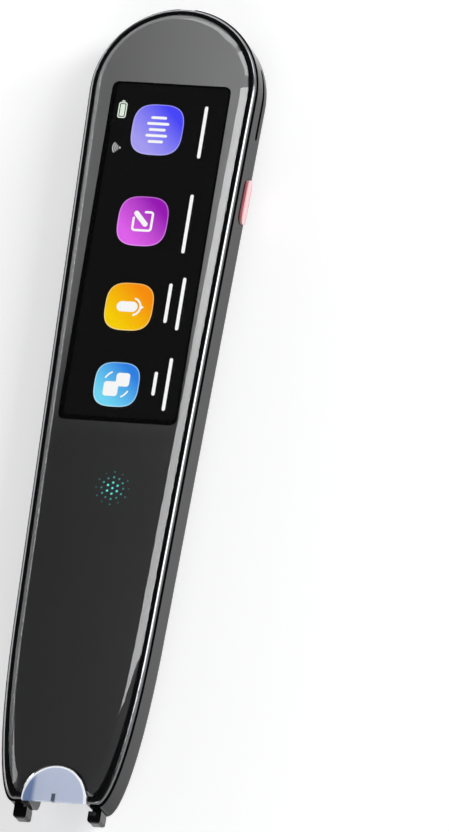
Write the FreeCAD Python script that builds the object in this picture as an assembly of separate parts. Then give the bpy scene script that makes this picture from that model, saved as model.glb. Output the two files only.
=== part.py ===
import FreeCAD, Part
import math
import os

from FreeCAD import Vector

os.makedirs("parts", exist_ok=True)

# Handheld scanning translator, a pen that lies on its back with its screen up.
# X is across the pen, with the side button at plus X. Y runs from the scanning tip
# at zero to the round end. Z goes up from the flat land that it rests on. Millimetres.

# Body outline seen from the front
body_length = 151.0        # from the ends of the two tip arms to the round end
end_radius = 15.9          # half the width at the round end
taper_angle = 1.41         # how far each side leans in towards the tip, in degrees
tip_start = 32.7           # height above the tip where the sides start to curve in
tip_half_width = 8.1       # half the width of the straight edge at the tip
tip_side_pull = 0.62       # share of the tip's length that follows the straight side
tip_end_pull = 0.50        # share of the tip's width that follows the straight edge
least_tip_share = 0.15     # share of the tip's half width that a drawn-in outline keeps

# Levels of the section
thickness = 11.5           # from the land to the top of the glass
belly_height = 4.2         # where the round back meets the upright side wall
belly_reach = 11.9         # how far the round back runs in from the side
tip_belly_share = 0.55     # how much of that reach the back has at the tip
seam_height = 9.4          # where the front frame sits on the back shell
shell_wall = 1.1
part_gap = 0.1             # between pieces that slip into each other
seat_gap = 0.05            # between stacked inner pieces
floor_rise = 0.12          # rise of the shell's inner floor under a flat piece
belly_rings = 14           # outlines that the round back is drawn through
over = 1.0                 # how far a cutting tool reaches past what it cuts
arch_reach = 6.0           # how far a cutting arch reaches past the tip

# Cover glass, decor film and screen
glass_thickness = 1.15
glass_inset = 1.5          # from the side of the body to the edge of the glass
glass_bevel_width = 1.15
glass_bevel_drop = 0.95
glass_bevel_arc = (38.0, 52.0)  # part of a circle that the bevel's section follows, in degrees
round_steps = 4            # outlines that a rounded edge is drawn through
rim_inset = 0.3            # from the side of the body to the frame's rim
rim_round = 0.75
rim_top_drop = 0.95        # from the top of the glass down to the rim's top
film_thickness = 0.15
film_inset = 1.9
tape_thickness = 0.1
tape_width = 1.2
screen_side_margin = 4.63  # from the side of the round end to the screen
screen_length = 64.6
screen_top_margin = 14.85  # from the round end down to the screen
screen_corner = 1.3
module_border = 1.1        # hidden border of the display module
module_thickness = 1.5
module_foam = 0.3
foam_side_margin = 1.0
foam_end_margin = 4.0

# Touch key, a ring of lit dots under the glass
key_offset = 1.3
key_drop = 12.4            # from the lower edge of the screen down to the key
key_ring_radii = (1.05, 2.05, 3.07)
key_ring_counts = (6, 12, 12)
key_dot_radii = (0.24, 0.19, 0.15)
key_guide_radius = 4.2
key_guide_thickness = 0.8
key_board_thickness = 0.6

# Front frame
frame_plate = 1.1
frame_tray_floor = 0.4
frame_skirt_depth = 1.6
frame_skirt_wall = 0.8

# Scanning tip
notch_half_width = 6.0
notch_depth = 6.6          # from the arm ends to the top of the notch in the glass
tunnel_half_width = 5.55
tunnel_depth = 15.0        # from the arm ends to the top of the arch in the back
hood_wall = 0.8
hood_start = 0.6           # how far the liner stops short of the arm ends
camera_window_size = (6.0, 7.0)
window_thickness = 0.9
window_drop = 0.25         # from the top of the glass down to the scan window
window_gap = 0.1
mark_width = 0.8
mark_length = 1.6
mark_depth = 0.15
mark_start = 0.4
film_margin = 0.4          # between the notch and the film behind it

# Nose frame, the sliding frame whose two feet touch the paper
nose_travel = 0.8
nose_leg_width = 0.8
nose_leg_depth = 3.2
nose_leg_gap = 0.1
foot_width = 1.75          # the part of a foot that slides in the arm's end
foot_toe = 0.7             # how far a foot reaches in under the tunnel's liner
foot_length = 2.4
foot_root = 1.9            # length of a foot inside the arm
foot_round = 0.6
nose_level = 6.0           # middle of the legs above the land
nose_bar_start = 31.0      # cross bar that joins the legs behind the camera
nose_bar_width = 3.0
nose_spring_radius = 0.9
nose_spring_place = 5.2
nose_pocket_wall = 0.8     # left in front of each spring's pocket
nose_rib_gap = 3.3         # from the cross bar to the rib that the springs push on
nose_rib_width = 1.0
nose_rib_top = 7.4
nose_switch_size = (4.6, 2.0, 2.2)
nose_switch_plunger = 0.5

# Side button
button_drop = 34.75        # from the round end down to the middle of the button
button_length = 8.4
button_width = 3.1
button_level = 5.2
button_stand = 0.35        # how far it stands out of the side
button_gap = 0.15
button_travel = 0.4
button_flange = 0.6
button_flange_lip = 0.8
button_flange_gap = 0.25   # between the flange and the shell's wall at rest
switch_size = (2.1, 4.2, 2.4)
switch_plunger_radius = 0.7
switch_plunger_length = 0.7
switch_rest_gap = 0.1      # left when the button is pressed home

# Card slot and socket
card_slot_drop = 23.15     # from the round end down to the slot's lower end
card_slot_length = 13.5
card_slot_height = 1.1
card_slot_level = 6.0
card_socket_size = (14.4, 14.0, 1.8)
card_slot_clear = 0.3      # room between the card path and the socket's walls
card_slot_cut = 2.5        # depth of the cut through the shell's curved wall
card_socket_back = 1.0     # wall behind the card

# Charging port on the side away from the button
port_drop = 34.75          # from the round end down to the middle of the port
port_width = 9.0
port_tall = 3.2
port_level = 5.2
port_depth = 7.3
port_inset = 0.35
port_wall = 0.3
port_tongue = 0.7
port_tongue_width = 6.4
port_tongue_inset = 0.8
port_cut = 4.0             # depth of the port's opening from the side of the body

# Microphone in the round end
mic_slot_width = 2.8
mic_slot_tall = 0.8
mic_slot_rise = 0.5        # how far the slot cuts up into the frame's rim
mic_slot_depth = 3.0
mic_size = (3.4, 2.4, 1.0)
mic_boot_width = 2.4
mic_boot_tall = 0.3

# Speaker under the grille in the back
grille_drop = 16.1         # from the round end down to the middle of the grille
grille_slot_width = 0.8
grille_cut_top = 2.5       # level that the slots are cut up to
# Each slot has a twin, turned half round the middle of the grille: place across, place up and length.
grille_upright_slots = ((-0.55, 2.3, 5.9), (-2.45, 2.3, 3.9), (-4.2, 2.0, 1.9))
grille_slanted_slots = ((2.35, 4.1, 4.9), (2.55, 1.7, 4.9))
grille_slant = 60.0
speaker_size = (13.0, 16.2, 2.9)
speaker_level = 2.0
speaker_corner = 1.5
speaker_cone_radius = 5.0
speaker_cone_depth = 0.5
gasket_radius = 6.2
gasket_wall = 0.8
mesh_thickness = 0.12

# Main board and what it carries
board_level = 6.9          # underside of the board
board_thickness = 0.7
board_rise = 10.6          # from the lower edge of the screen up to the board
board_drop = 8.4           # from the round end down to the board
board_side_gap = 1.3       # between the board's edge and the shell's wall
board_post_radius = 1.2
board_post_side = 11.2
board_post_rise = 6.0      # of the lower posts above the board's lower edge
board_post_drops = (14.6, 18.0)  # of the upper posts, left and right, below its upper edge
shield_size = (16.0, 17.0, 1.45)
shield_rise = 8.0          # rises are from the board's lower edge
shield_sheet = 0.2
processor_size = (11.0, 11.0, 1.0)
processor_rise = 11.0
radio_size = (9.0, 8.0, 1.3)
radio_side = -2.5
radio_rise = 36.0
memory_size = (8.0, 6.5, 0.9)
memory_side = 3.5
memory_rise = 28.6

# Battery
battery_gap = 1.7          # from the nose frame's rib up to the battery
battery_drop = 43.0        # from the round end down to the battery
battery_width = 17.4
battery_tall = 3.2
battery_level = 2.1
battery_edge = 0.9
battery_pad_width = 7.0
battery_pad_margin = 5.0
battery_pad_corner = 1.0
battery_board_size = (12.0, 2.6, 1.6)
battery_board_rise = 0.8
battery_tab_width = 3.0

# Camera
camera_bottom = 20.0
camera_level = 5.0
lens_radius = 2.4
lens_length = 5.2
lens_wall = 0.5
lens_glass_thickness = 0.9
lens_glass_inset = 0.4
sensor_size = 3.6
sensor_thickness = 0.8
camera_board_size = (8.4, 0.7, 5.8)
cradle_size = (6.8, 3.6, 6.6)
light_board_size = (7.6, 0.5, 5.6)
light_size = 1.2
light_height = 0.5
light_spread = (2.8, 1.9)

# Screws
screw_radius = 0.7
screw_head_radius = 1.25
screw_head_height = 0.5
screw_length = 3.6
screw_gap = 0.1
thread_gap = 0.03
recess_width = 0.3
recess_depth = 0.25
boss_radius = 1.6
top_screw_side = 5.6
top_screw_drop = 5.1       # from the round end
middle_screw_inset = 5.4    # from the side of the round end
middle_screw_drop = 6.8    # from the lower edge of the screen
low_screw_inset = 3.8       # from the side of the body at their height
low_screw_height = 33.0

# Aerial and ribbons
aerial_length = 22.0
aerial_width = 3.2
aerial_thickness = 0.2
aerial_drop = 15.4         # from the lower edge of the screen down to the aerial's lower end
aerial_level = 4.5
display_ribbon_width = 6.0
camera_ribbon_width = 4.0
ribbon_thickness = 0.15
ribbon_overlap = 4.0
display_ribbon_start = 1.0
ribbon_inset = 1.6         # from the lower end of the module to its ribbon
ribbon_slot_length = 1.0

# Worked out from the sizes above
taper = math.radians(taper_angle)
end_centre = body_length - end_radius
glass_top = thickness
glass_bottom = glass_top - glass_thickness
film_bottom = glass_bottom - film_thickness
frame_top = film_bottom - tape_thickness
module_top = frame_top - seat_gap
module_bottom = module_top - module_thickness
tray_floor_top = module_bottom - module_foam
tray_bottom = tray_floor_top - frame_tray_floor
rim_top = glass_top - rim_top_drop
screen_top = body_length - screen_top_margin
screen_middle = screen_top - screen_length / 2
screen_bottom = screen_top - screen_length
screen_width = 2 * (end_radius - screen_side_margin)
key_height = screen_bottom - key_drop
button_height = body_length - button_drop
card_slot_start = body_length - card_slot_drop
port_height = body_length - port_drop
grille_height = body_length - grille_drop
board_bottom = screen_bottom + board_rise
board_top = body_length - board_drop
module_half_width = screen_width / 2 + module_border
module_length = screen_length + 2 * module_border
board_ceiling = board_level + board_thickness
floor = shell_wall + floor_rise
boss_top = frame_top - frame_plate
skirt_inset = shell_wall + part_gap
leg_inside = tunnel_half_width + hood_wall + part_gap
leg_outside = leg_inside + nose_leg_width
leg_low = nose_level - nose_leg_depth / 2
leg_high = nose_level + nose_leg_depth / 2
nose_bar_end = nose_bar_start + nose_bar_width
nose_rib = nose_bar_end + nose_rib_gap
hood_low = 0.35
hood_high = boss_top - seat_gap
ribbon_level = board_ceiling + seat_gap
battery_bottom = nose_rib + nose_rib_width + battery_gap
battery_end = body_length - battery_drop
board_post_places = (
    (-board_post_side, board_bottom + board_post_rise),
    (board_post_side, board_bottom + board_post_rise),
    (-board_post_side, board_top - board_post_drops[0]),
    (board_post_side, board_top - board_post_drops[1]),
)


def vec(x, y, z=0.0):
    return Vector(x, y, z)


def side_at(height, inset=0.0):
    """Half the width of the body at a height above the tip, on its straight sides."""
    reach = (end_radius - inset) / math.cos(taper)
    return reach - (end_centre - height) * math.tan(taper)


def half_width(height, inset=0.0):
    """Half the width anywhere above the start of the tip."""
    radius = end_radius - inset
    rise = height - end_centre
    if rise <= -radius * math.sin(taper):
        return side_at(height, inset)
    return math.sqrt(max(radius * radius - rise * rise, 0.0))


def outline(inset, level, tip_inset=None):
    """Closed wire of the body seen from the front, drawn in by an inset."""
    end_in = inset if tip_inset is None else tip_inset
    radius = end_radius - inset
    shoulder = vec(radius * math.cos(taper), end_centre - radius * math.sin(taper), level)
    crown = vec(0, end_centre + radius, level)
    lean = math.tan(taper)
    hip = vec(shoulder.x - (shoulder.y - tip_start) * lean, tip_start, level)
    corner = vec(max(tip_half_width - inset, least_tip_share * tip_half_width), end_in, level)
    drop = (hip.y - corner.y) * tip_side_pull
    hip_pull = vec(hip.x - drop * lean, hip.y - drop, level)
    corner_pull = vec(corner.x + (hip.x - corner.x) * tip_end_pull, corner.y, level)

    def mirror(point):
        return vec(-point.x, point.y, point.z)

    right_tip = Part.BezierCurve()
    right_tip.setPoles([hip, hip_pull, corner_pull, corner])
    left_tip = Part.BezierCurve()
    left_tip.setPoles([mirror(corner), mirror(corner_pull), mirror(hip_pull), mirror(hip)])
    edges = [
        Part.Arc(mirror(shoulder), crown, shoulder).toShape(),
        Part.LineSegment(shoulder, hip).toShape(),
        right_tip.toShape(),
        Part.LineSegment(corner, mirror(corner)).toShape(),
        left_tip.toShape(),
        Part.LineSegment(mirror(hip), mirror(shoulder)).toShape(),
    ]
    return Part.Wire(edges)


def slab(inset, low, high, tip_inset=None):
    """Solid with the body's outline between two levels."""
    face = Part.Face(outline(inset, low, tip_inset))
    return face.extrude(vec(0, 0, high - low))


def belly(wall, stand=0.0):
    """Round back of the body, drawn in by a wall, or out by a stand."""
    rings = []
    reach = belly_reach - wall + stand
    drop = belly_height - wall + stand
    for step in range(belly_rings + 1):
        angle = math.radians(90.0 * step / belly_rings)
        inset = belly_reach - reach * math.cos(angle)
        tip_in = wall - stand + (inset - wall + stand) * tip_belly_share
        level = belly_height - drop * math.sin(angle)
        rings.append(outline(inset, level, tip_in))
    return Part.makeLoft(rings, True, False)


def box(low, high):
    return Part.makeBox(high[0] - low[0], high[1] - low[1], high[2] - low[2], vec(*low))


def rounded_plate(middle, size, low, high, corner):
    """Upright prism with a rectangle's outline and round corners."""
    plate = box(
        (middle[0] - size[0] / 2, middle[1] - size[1] / 2, low),
        (middle[0] + size[0] / 2, middle[1] + size[1] / 2, high),
    )
    upright = [edge for edge in plate.Edges if abs(edge.tangentAt(edge.FirstParameter).z) > 0.99]
    return plate.makeFillet(corner, upright)


def disc(x, y, radius, low, high):
    return Part.makeCylinder(radius, high - low, vec(x, y, low))


def arch(half, depth, low, high, start=-arch_reach):
    """Prism of a round-topped gap that opens at the tip."""
    return Part.Face(arch_wire(half, depth, low, start)).extrude(vec(0, 0, high - low))


def arch_wire(half, depth, level, start):
    spring = depth - half
    return Part.Wire([
        Part.LineSegment(vec(half, start, level), vec(half, spring, level)).toShape(),
        Part.Arc(vec(half, spring, level), vec(0, depth, level), vec(-half, spring, level)).toShape(),
        Part.LineSegment(vec(-half, spring, level), vec(-half, start, level)).toShape(),
        Part.LineSegment(vec(-half, start, level), vec(half, start, level)).toShape(),
    ])


def roof_depth(level):
    """Depth of the tunnel's sloping roof at a level."""
    share = (level - hood_low) / (hood_high - hood_low)
    return tunnel_depth + (notch_depth - tunnel_depth) * share


def funnel(grow, low, high, start=-arch_reach):
    """Tunnel of the tip, deep at the back and as shallow as the notch at the front."""
    rings = [
        arch_wire(tunnel_half_width + grow, roof_depth(level) + grow, level, start)
        for level in (low, high)
    ]
    return Part.makeLoft(rings, True, True)


def pill(middle, length, width, low, high, angle=0.0):
    """Slot with round ends, its length along Y before it is turned about Z."""
    run = length - width
    body = box((-width / 2, -run / 2, low), (width / 2, run / 2, high))
    for end in (-1, 1):
        body = body.fuse(disc(0, end * run / 2, width / 2, low, high))
    body = body.removeSplitter()
    body.rotate(vec(0, 0), vec(0, 0, 1), angle)
    body.translate(vec(middle[0], middle[1]))
    return body


def side_pill(height, level, length, tall, inner, outer):
    """Slot with round ends that goes through a side wall along X."""
    slot = pill((0, 0), length, tall, inner, outer)
    slot.rotate(vec(0, 0), vec(0, 1, 0), 90)
    slot.translate(vec(0, height, level))
    return slot


def fused(pieces):
    whole = pieces[0]
    for piece in pieces[1:]:
        whole = whole.fuse(piece)
    return whole.removeSplitter()


def cut_all(shape, tools):
    for tool in tools:
        shape = shape.cut(tool)
    return shape


def room(gap):
    """Space inside the back shell, drawn in by a gap."""
    inset = shell_wall + gap
    return slab(inset, belly_height, thickness).fuse(belly(inset))


nodes = {}


def keep(name, shape):
    nodes[name] = shape
    return shape


def make_back_shell():
    outer = slab(0, belly_height, seam_height).fuse(belly(0))
    inner = slab(shell_wall, belly_height, seam_height + over).fuse(belly(shell_wall))
    shell = outer.cut(inner)
    for x, y in screws_on_both_sides():
        post = disc(x, y, boss_radius, 0, boss_top)
        shell = shell.fuse(post.common(outer))
    shell = cut_all(shell, [
        disc(x, y, screw_radius, boss_top - screw_length, boss_top + over) for x, y in screws_on_both_sides()
    ])
    for x, y in board_post_places:
        shell = shell.fuse(disc(x, y, board_post_radius, 0, board_level).common(outer))
    rib = box((-end_radius, nose_rib, 0), (end_radius, nose_rib + nose_rib_width, nose_rib_top))
    shell = shell.fuse(rib.common(outer))
    shell = shell.cut(funnel(hood_wall + part_gap, -over, seam_height + over))
    shell = cut_all(shell, leg_channels(nose_leg_gap))
    outside = end_radius + 2 * over
    shell = shell.cut(side_pill(
        button_height, button_level, button_length + 2 * button_gap,
        button_width + 2 * button_gap, half_width(button_height) - 2 * shell_wall, outside,
    ))
    shell = shell.cut(side_pill(
        card_slot_start + card_slot_length / 2, card_slot_level, card_slot_length,
        card_slot_height, half_width(card_slot_start + card_slot_length) - card_slot_cut, outside,
    ))
    shell = shell.cut(side_pill(
        port_height, port_level, port_width + 2 * part_gap, port_tall + 2 * part_gap,
        -outside, -half_width(port_height) + port_cut,
    ))
    shell = shell.cut(mic_slot())
    return cut_all(shell, [pill(*slot, -over, grille_cut_top, angle) for *slot, angle in grille_slots()])


def screws_on_both_sides():
    places = (
        (top_screw_side, body_length - top_screw_drop),
        (end_radius - middle_screw_inset, screen_bottom - middle_screw_drop),
        (side_at(low_screw_height) - low_screw_inset, low_screw_height),
    )
    return [(side * x, y) for x, y in places for side in (-1, 1)]


def mic_slot():
    low = seam_height - mic_slot_tall
    return box(
        (-mic_slot_width / 2, body_length - mic_slot_depth, low),
        (mic_slot_width / 2, body_length + over, seam_height + mic_slot_rise),
    )


def grille_slots():
    """Slots of the speaker grille, seen from the back, as middle, length, width and turn."""
    y = grille_height
    width = grille_slot_width
    slots = []
    for places, turn in ((grille_upright_slots, 0), (grille_slanted_slots, grille_slant)):
        for x, up, length in places:
            slots.append(((x, y + up), length, width, turn))
            slots.append(((-x, y - up), length, width, turn))
    return slots


def leg_channels(grow):
    """Room for the two legs of the nose frame and its cross bar, over the whole travel."""
    low, high = leg_low - grow, leg_high + grow
    leg = box((leg_inside - grow, -over, low), (leg_outside + grow, nose_bar_start, high))
    foot = box(
        (leg_inside - grow, -over, low),
        (leg_inside + foot_width + grow, foot_root + nose_travel + grow, high),
    )
    right = fused([leg, foot])
    return [right, right.mirror(vec(0, 0), vec(1, 0, 0))]


keep("back_shell", make_back_shell())


def rounded_rim():
    """Rim of the frame, rounded over its outer top edge."""
    rings = []
    for step in range(round_steps + 1):
        angle = math.radians(90.0 * step / round_steps)
        rings.append(outline(
            rim_inset + rim_round * (1 - math.cos(angle)), rim_top - rim_round * (1 - math.sin(angle))))
    return slab(rim_inset, seam_height, rim_top - rim_round).fuse(Part.makeLoft(rings, True, False))


def make_front_frame():
    rim = rounded_rim()
    skirt_in = skirt_inset
    skirt = slab(skirt_in, seam_height - frame_skirt_depth, seam_height)
    skirt = skirt.cut(slab(skirt_in + frame_skirt_wall, seam_height - frame_skirt_depth, boss_top))
    frame = rim.fuse(skirt)
    frame = frame.cut(slab(glass_inset - part_gap, frame_top, glass_top + over))
    under = slab(skirt_in + frame_skirt_wall, seam_height - frame_skirt_depth - over, boss_top)
    tray = rounded_plate(
        (0, screen_middle),
        (2 * module_half_width + 2 * (part_gap + frame_skirt_wall),
         module_length + 2 * (part_gap + frame_skirt_wall)),
        tray_bottom, boss_top, screen_corner,
    )
    frame = frame.cut(under.cut(tray)).fuse(tray.common(slab(skirt_in, tray_bottom, boss_top)))
    pocket = rounded_plate(
        (0, screen_middle),
        (2 * (module_half_width + part_gap), module_length + 2 * part_gap),
        tray_floor_top, glass_top + over, screen_corner,
    )
    frame = frame.cut(pocket)
    frame = frame.cut(disc(
        key_offset, key_height, key_guide_radius + part_gap, tray_bottom - over, glass_top))
    frame = frame.cut(ribbon_slot())
    frame = frame.cut(arch(notch_half_width, notch_depth, tray_bottom - over, glass_top + over))
    frame = frame.cut(funnel(hood_wall + part_gap, -over, seam_height + over).common(
        box((-end_radius, -arch_reach, 0), (end_radius, nose_bar_start, boss_top + seat_gap))))
    frame = cut_all(frame, leg_channels(nose_leg_gap))
    frame = frame.cut(mic_slot())
    for x, y in screws_on_both_sides():
        frame = frame.cut(disc(x, y, screw_radius + screw_gap, 0, glass_top))
        frame = frame.cut(disc(
            x, y, screw_head_radius + screw_gap, frame_top - screw_head_height - seat_gap, glass_top))
    return frame.removeSplitter()


def ribbon_slot():
    """Way through the tray for the display ribbon."""
    start = screen_middle - module_length / 2 + ribbon_inset - part_gap
    return box(
        (display_ribbon_start - part_gap, start, tray_bottom - over),
        (display_ribbon_start + display_ribbon_width + part_gap, start + ribbon_slot_length, boss_top + over),
    )


keep("front_frame", make_front_frame())


def make_cover_glass():
    rings = []
    start, finish = [math.radians(angle) for angle in glass_bevel_arc]
    for step in range(round_steps + 1):
        angle = start + (finish - start) * step / round_steps
        run = (math.cos(start) - math.cos(angle)) / (math.cos(start) - math.cos(finish))
        rise = (math.sin(angle) - math.sin(start)) / (math.sin(finish) - math.sin(start))
        rings.append(outline(
            glass_inset + glass_bevel_width * run, glass_top - glass_bevel_drop * (1 - rise)))
    crown = Part.makeLoft(rings, True, False)
    base = slab(glass_inset, glass_bottom, glass_top - glass_bevel_drop)
    glass = base.fuse(crown)
    return glass.cut(arch(notch_half_width, notch_depth, glass_bottom - over, glass_top + over))


keep("cover_glass", make_cover_glass())


def key_dots():
    """Places and sizes of the lit dots."""
    dots = [(key_offset, key_height, key_dot_radii[0])]
    for ring, count, size in zip(key_ring_radii, key_ring_counts, key_dot_radii):
        for place in range(count):
            angle = math.radians(90 + 360.0 * place / count)
            dots.append((key_offset + ring * math.cos(angle), key_height + ring * math.sin(angle), size))
    return dots


def make_film():
    film = slab(film_inset, film_bottom, glass_bottom)
    film = film.cut(rounded_plate(
        (0, screen_middle), (screen_width, screen_length),
        film_bottom - over, glass_bottom + over, screen_corner,
    ))
    film = film.cut(arch(
        notch_half_width + film_margin, notch_depth + film_margin, film_bottom - over, glass_bottom + over))
    return cut_all(film, [
        disc(x, y, size, film_bottom - over, glass_bottom + over) for x, y, size in key_dots()
    ])


keep("decor_film", make_film())

keep("display_module", rounded_plate(
    (0, screen_middle), (2 * module_half_width, module_length), module_bottom, module_top, screen_corner))
keep("display_foam", rounded_plate(
    (0, screen_middle),
    (2 * (module_half_width - foam_side_margin), module_length - 2 * foam_end_margin),
    tray_floor_top, module_bottom, screen_corner,
))
key_guide_top = film_bottom - seat_gap
key_board_top = key_guide_top - key_guide_thickness
keep("touch_key_guide", disc(key_offset, key_height, key_guide_radius, key_board_top, key_guide_top))
keep("touch_key_board", disc(
    key_offset, key_height, key_guide_radius, key_board_top - key_board_thickness, key_board_top))


def make_hood():
    """Liner of the tunnel, whose sloping roof holds the camera window."""
    hood = hood_band()
    hood = hood.common(slab(part_gap, belly_height, seam_height + over).fuse(belly(part_gap)))
    return hood.cut(camera_window_prism(seat_gap))


def hood_band():
    return funnel(hood_wall, hood_low, hood_high, hood_start).cut(funnel(0, hood_low, hood_high))


def camera_window_prism(grow):
    """Plate that fills the middle of the hood's roof, square to its slope."""
    slope = math.degrees(math.atan2(hood_high - hood_low, tunnel_depth - notch_depth))
    length = camera_window_size[1] + 2 * grow
    width = camera_window_size[0] + 2 * grow
    plate = box((-width / 2, -length / 2, -2 * hood_wall), (width / 2, length / 2, 2 * hood_wall))
    plate.rotate(vec(0, 0), vec(1, 0, 0), 180 - slope)
    middle = (hood_low + hood_high) / 2
    plate.translate(vec(0, roof_depth(middle), middle))
    return plate


keep("scan_hood", make_hood())
keep("camera_window", camera_window_prism(0).common(hood_band()))


def make_scan_window():
    top = glass_top - window_drop
    plate = arch(notch_half_width - window_gap, notch_depth - window_gap, top - window_thickness, top, 0.0)
    return plate.cut(aim_mark())


def aim_mark():
    low = glass_top - window_drop - window_thickness
    return box(
        (-mark_width / 2, mark_start, low),
        (mark_width / 2, mark_start + mark_length, low + mark_depth),
    )


keep("scan_window", make_scan_window())
keep("aim_mark", aim_mark())


def make_tape():
    tape = slab(film_inset, frame_top, film_bottom)
    tape = tape.cut(slab(film_inset + tape_width, frame_top, film_bottom))
    return tape.cut(arch(
        notch_half_width + film_margin, notch_depth + film_margin, frame_top - over, glass_top))


keep("glass_tape", make_tape())


def make_nose_frame():
    """Two feet, two legs and the cross bar with a pocket for each spring."""
    leg = box((leg_inside, -foot_length + foot_round, leg_low), (leg_outside, nose_bar_end, leg_high))
    outside = leg_inside + foot_width
    foot = box((leg_inside, -foot_length, leg_low), (outside, foot_root, leg_high))
    toe = box(
        (leg_inside - foot_toe, -foot_length, leg_low),
        (outside, hood_start - nose_travel - nose_leg_gap, leg_high),
    )
    foot = fused([foot, toe])
    ends = [edge for edge in foot.Edges if edge.BoundBox.YMax < -foot_length + 0.01]
    foot = foot.makeFillet(foot_round, ends)
    right = fused([leg, foot])
    left = right.mirror(vec(0, 0), vec(1, 0, 0))
    bar = box((-leg_outside, nose_bar_start, leg_low), (leg_outside, nose_bar_end, leg_high))
    frame = fused([right, left, bar])
    for side in (-1, 1):
        frame = frame.cut(along_y(
            side * nose_spring_place, nose_level, nose_spring_radius + part_gap,
            nose_bar_start + nose_pocket_wall, nose_bar_end + over))
    return frame


def along_y(x, level, radius, start, end):
    return Part.makeCylinder(radius, end - start, vec(x, start, level), vec(0, 1, 0))


def along_x(y, level, radius, start, end):
    return Part.makeCylinder(radius, end - start, vec(start, y, level), vec(1, 0, 0))


def group(shapes):
    """Separate solids that share a node."""
    return Part.makeCompound(shapes)


keep("nose_frame", make_nose_frame())
spring_start = nose_bar_start + nose_pocket_wall + nose_travel + part_gap
keep("nose_springs", group([
    along_y(side * nose_spring_place, nose_level, nose_spring_radius, spring_start, nose_rib).cut(
        along_y(side * nose_spring_place, nose_level, nose_spring_radius / 2, spring_start, nose_rib))
    for side in (-1, 1)
]))


def make_nose_switch():
    width, length, tall = nose_switch_size
    body = box(
        (-width / 2, nose_rib - length, nose_level - tall / 2),
        (width / 2, nose_rib, nose_level + tall / 2),
    )
    tip = nose_bar_end + nose_travel + part_gap
    return body.fuse(along_y(0, nose_level, nose_switch_plunger, tip, nose_rib - length))


keep("nose_switch", make_nose_switch())


def button_blank(grow, inner):
    """Round-ended key of the side button, its outer end shaped like the body's side."""
    key = side_pill(
        button_height, button_level, button_length + 2 * grow, button_width + 2 * grow,
        inner, end_radius + 2 * over,
    )
    skin = slab(-button_stand, belly_height, seam_height).fuse(belly(0, button_stand))
    return key.common(skin)


def make_button():
    inner = half_width(button_height) - shell_wall - button_flange_gap - button_flange
    key = button_blank(0, inner + seat_gap)
    run = button_length / 2 + button_flange_lip
    flange = box(
        (inner, button_height - run, button_level - button_width / 2 + button_flange / 2),
        (inner + button_flange, button_height + run, button_level + button_width / 2 - button_flange / 2),
    )
    return key.fuse(flange)


keep("side_button", make_button())


def make_button_switch():
    deep, length, tall = switch_size
    face = half_width(button_height) - shell_wall - button_flange_gap - button_flange
    tip = face - button_travel - switch_rest_gap
    back = tip - switch_plunger_length
    body = box(
        (back - deep, button_height - length / 2, board_level - tall),
        (back, button_height + length / 2, board_level),
    )
    plunger = along_x(button_height, button_level, switch_plunger_radius, back, tip)
    return body.fuse(plunger)


keep("button_switch", make_button_switch())


def make_card_socket():
    deep, length, tall = card_socket_size
    middle = card_slot_start + card_slot_length / 2
    mouth = half_width(middle + length / 2) - shell_wall - part_gap
    low = board_level - tall
    body = box((mouth - deep, middle - length / 2, low), (mouth, middle + length / 2, board_level))
    path = box(
        (mouth - deep + card_socket_back, middle - length / 2 + card_slot_clear,
         card_slot_level - card_slot_height / 2),
        (mouth + over, middle + length / 2 - card_slot_clear, card_slot_level + card_slot_height / 2),
    )
    return body.cut(path)


keep("card_socket", make_card_socket())


def make_port():
    mouth = -half_width(port_height) + port_inset
    outer = side_pill(port_height, port_level, port_width, port_tall, mouth, mouth + port_depth)
    inner = side_pill(
        port_height, port_level, port_width - 2 * port_wall, port_tall - 2 * port_wall,
        mouth - over, mouth + port_depth - port_wall)
    tongue = box(
        (mouth + port_tongue_inset, port_height - port_tongue_width / 2, port_level - port_tongue / 2),
        (mouth + port_depth, port_height + port_tongue_width / 2, port_level + port_tongue / 2),
    )
    return fused([outer.cut(inner), tongue])


keep("charging_port", make_port())

board = slab(shell_wall + board_side_gap, board_level, board_ceiling)
keep("main_board", board.common(box((-end_radius, board_bottom, 0), (end_radius, board_top, thickness))))


def hung(size, place):
    """Component on the underside of the main board, by its size and lower end."""
    wide, length, tall = size
    low = (place[0] - wide / 2, place[1], board_level - tall)
    return box(low, (place[0] + wide / 2, place[1] + length, board_level))


shield_bottom = board_bottom + shield_rise
inside = box(
    (-shield_size[0] / 2 + shield_sheet, shield_bottom + shield_sheet,
     board_level - shield_size[2] + shield_sheet),
    (shield_size[0] / 2 - shield_sheet, shield_bottom + shield_size[1] - shield_sheet, board_level + over),
)
keep("shield_can", hung(shield_size, (0, shield_bottom)).cut(inside))
keep("processor", hung(processor_size, (0, board_bottom + processor_rise)))
keep("radio_module", hung(radio_size, (radio_side, board_bottom + radio_rise)))
keep("memory_chip", hung(memory_size, (memory_side, board_bottom + memory_rise)))

mic_end = body_length - shell_wall - part_gap - frame_skirt_wall - part_gap
keep("microphone", box(
    (-mic_size[0] / 2, mic_end - mic_size[1], boss_top - mic_size[2]), (mic_size[0] / 2, mic_end, boss_top)))
boot_low = seam_height - mic_slot_tall + seat_gap
keep("microphone_boot", box(
    (-mic_boot_width / 2, mic_end, boot_low),
    (mic_boot_width / 2, body_length - shell_wall + part_gap, boot_low + mic_boot_tall)))

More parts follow.
